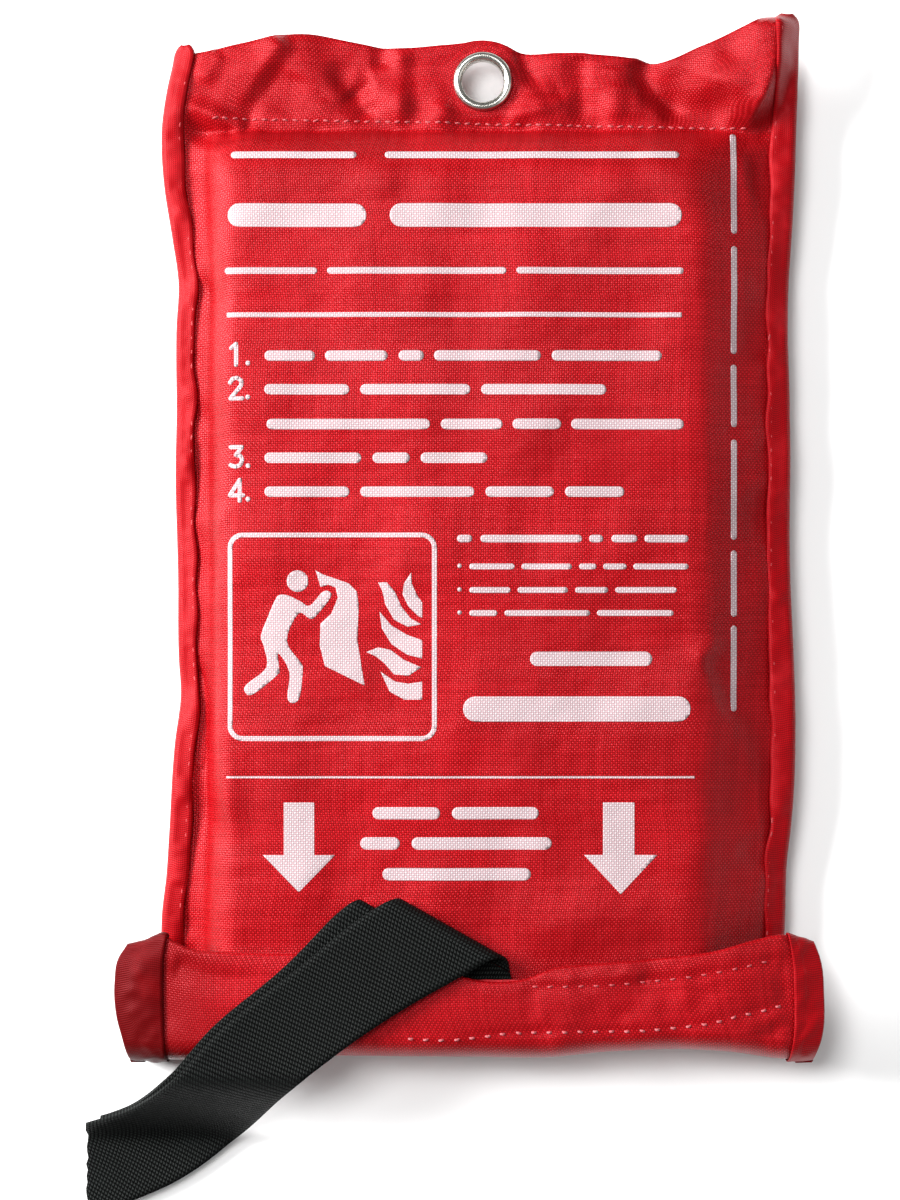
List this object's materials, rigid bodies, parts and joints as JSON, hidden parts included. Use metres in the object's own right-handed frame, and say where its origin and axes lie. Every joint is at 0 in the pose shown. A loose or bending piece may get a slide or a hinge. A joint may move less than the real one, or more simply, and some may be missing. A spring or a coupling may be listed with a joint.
{
  "type": "fire blanket in soft pouch",
  "caption": "Folded fire blanket in a flat red fabric wall pouch with a hanging eyelet, a bottom closing flap and black webbing pull tabs.",
  "frame": {"origin": "middle of the flat underside of the back panel, which the pouch lies on", "axes": "+Z out of the front panel, +Y along the pouch towards the hanging eyelet, +X to the right seen from the front"},
  "size_m": [0.207, 0.3403, 0.0283],
  "materials": {
    "red_oxford": "coated oxford weave, satin",
    "red_binding": "smooth binding tape, satin",
    "red_fastener": "hook and loop tape, matte",
    "nickel": "polished nickel plate",
    "pink_thread": "sewing thread, satin",
    "black_webbing": "woven webbing, matte",
    "glass_cloth": "woven glass fibre cloth, satin"
  },
  "bodies": {
    "pouch": {"back_panel": "red_oxford", "front_panel": "red_oxford", "left_binding": "red_binding", "right_binding": "red_binding", "eyelet_flange": "nickel", "eyelet_washer": "nickel", "hook_strip_left": "red_fastener", "hook_strip_right": "red_fastener", "header_stitching": "pink_thread", "left_binding_stitching": "pink_thread", "right_binding_stitching": "pink_thread"},
    "blanket": {"folded_blanket": "glass_cloth", "tab_a_lead": "black_webbing", "tab_b_lead": "black_webbing", "tab_stitching": "pink_thread"},
    "tab_tails": {"tab_a_tail": "black_webbing", "tab_b_tail": "black_webbing"},
    "flap_gusset": {"flap_gusset": "red_oxford", "gusset_left_binding": "red_binding", "gusset_right_binding": "red_binding"},
    "flap_lip": {"flap_lip": "red_oxford", "lip_left_binding": "red_binding", "lip_right_binding": "red_binding", "loop_strip": "red_fastener", "flap_lower_stitching": "pink_thread", "flap_upper_stitching": "pink_thread"}
  },
  "joints": [
    {"name": "blanket_slide", "type": "slide", "parent": "pouch", "child": "blanket", "axis": [0, -1, 0], "range_m": [0, 0.32]},
    {"name": "gusset_hinge", "type": "hinge", "parent": "pouch", "child": "flap_gusset", "pos_m": [0, -0.1432, 0.0006], "axis": [1, 0, 0], "range_deg": [0, 90], "deforming": ["flap_gusset", "gusset_left_binding", "gusset_right_binding"]},
    {"name": "lip_hinge", "type": "hinge", "parent": "flap_gusset", "child": "flap_lip", "pos_m": [0, -0.1432, 0.0251], "axis": [1, 0, 0], "range_deg": [0, 90], "deforming": ["flap_lip", "lip_left_binding", "lip_right_binding", "loop_strip", "flap_lower_stitching", "flap_upper_stitching"]},
    {"name": "tab_lift", "type": "hinge", "parent": "blanket", "child": "tab_tails", "pos_m": [-0.01351, -0.10662, 0.0283], "axis": [-0.8712, 0.4909, 0], "range_deg": [0, 150]}
  ],
  "couplings": [
    {"joint": "gusset_hinge", "follows": "blanket_slide", "rad_per_m": 4.9},
    {"joint": "lip_hinge", "follows": "blanket_slide", "rad_per_m": 4.9}
  ]
}
